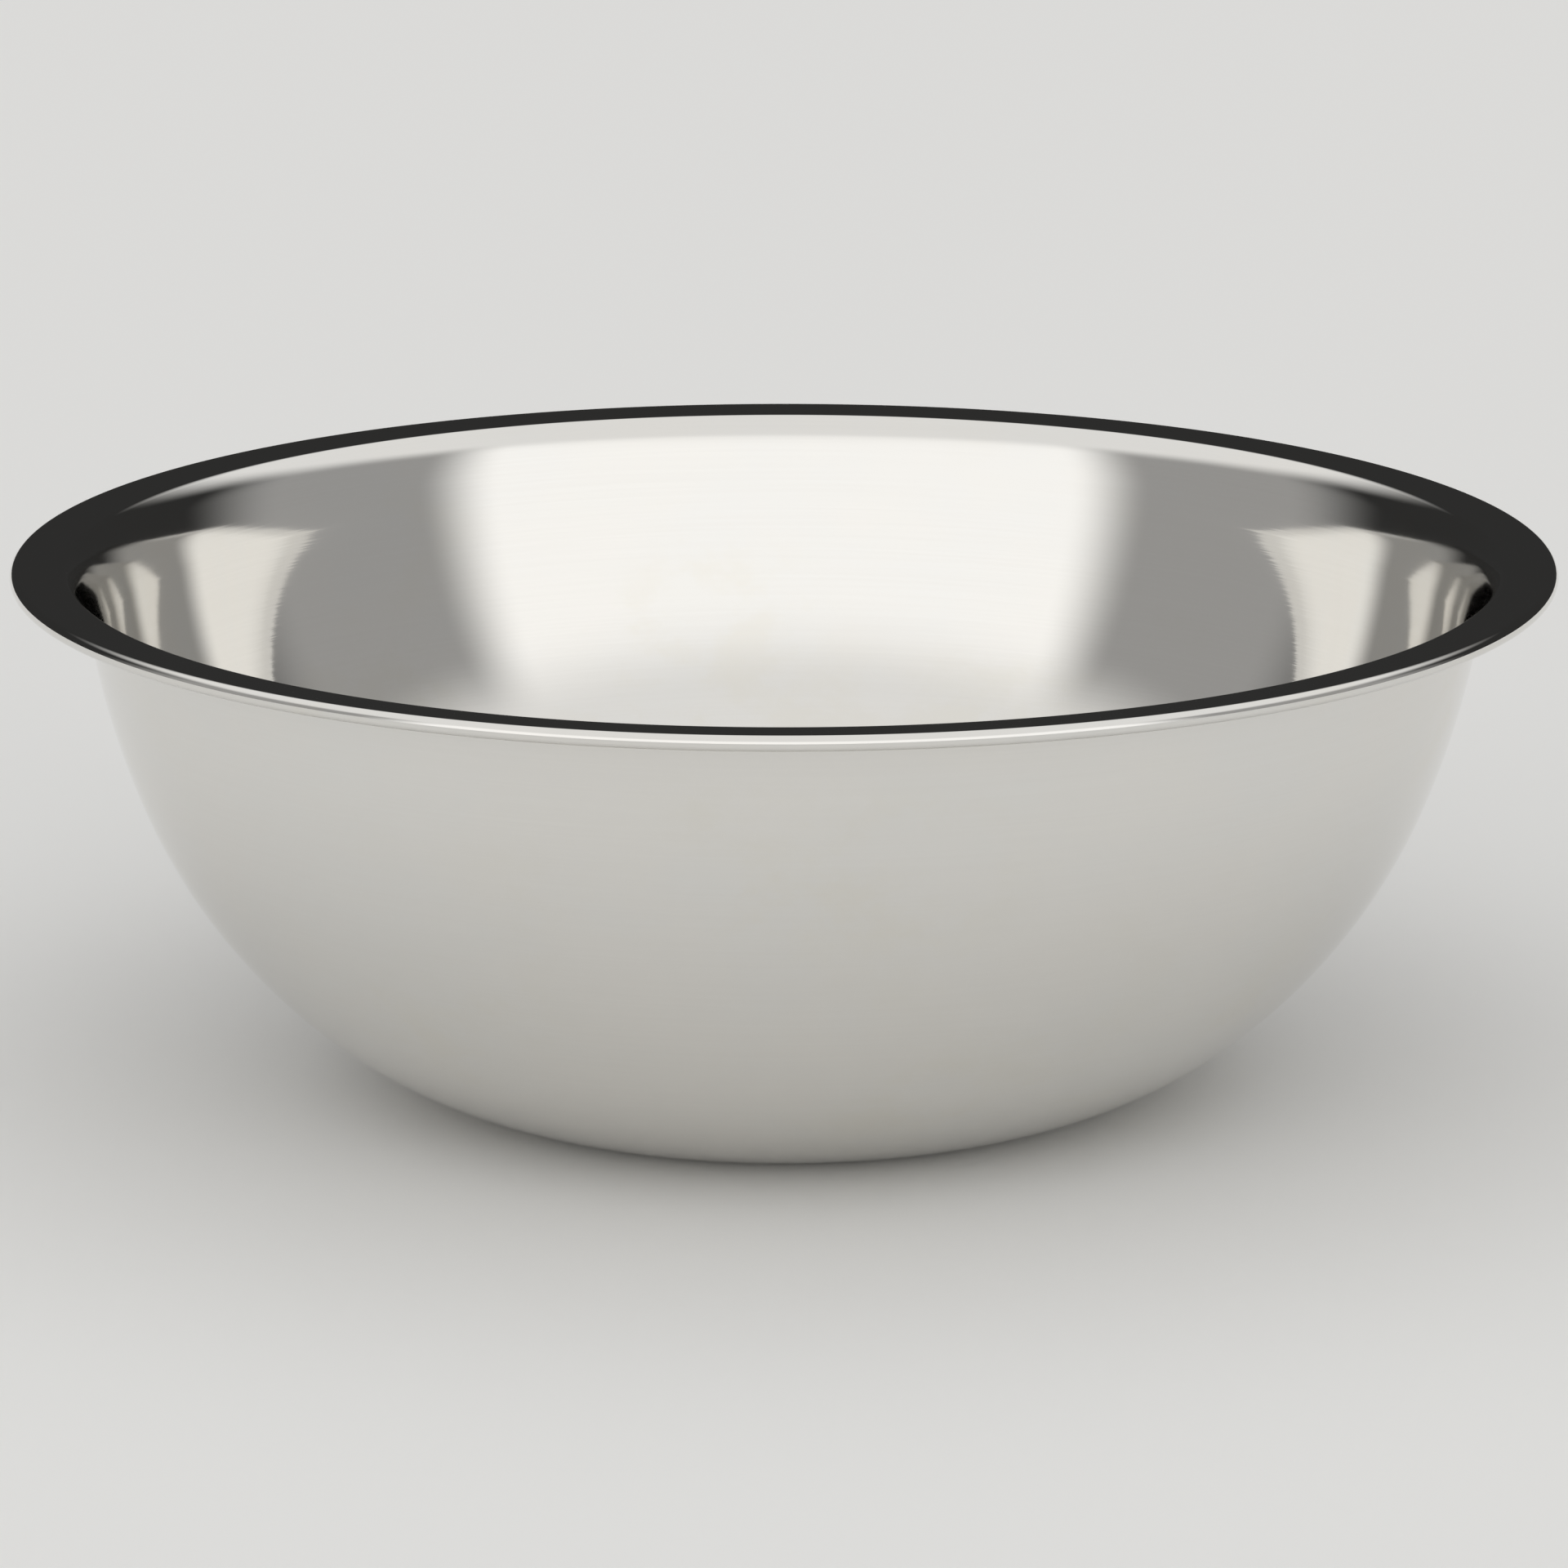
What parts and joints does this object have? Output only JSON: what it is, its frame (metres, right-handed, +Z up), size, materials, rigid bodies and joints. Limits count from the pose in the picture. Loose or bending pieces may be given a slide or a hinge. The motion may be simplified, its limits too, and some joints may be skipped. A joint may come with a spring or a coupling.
{
  "type": "mixing bowl",
  "caption": "Wide stainless steel mixing bowl with a flat base, curved wall, narrow flange and rolled edge.",
  "frame": {"origin": "centre of the underside of the flat base, on the bowl's axis", "axes": "+Z up along the bowl's axis, out of its mouth; X and Y are any two directions across the round bowl"},
  "size_m": [0.451, 0.4509, 0.1585],
  "materials": {
    "polished_steel": "mirror-polished stainless steel with very fine circular polishing lines"
  },
  "bodies": {
    "root": {"bowl_body": "polished_steel"}
  },
  "joints": []
}
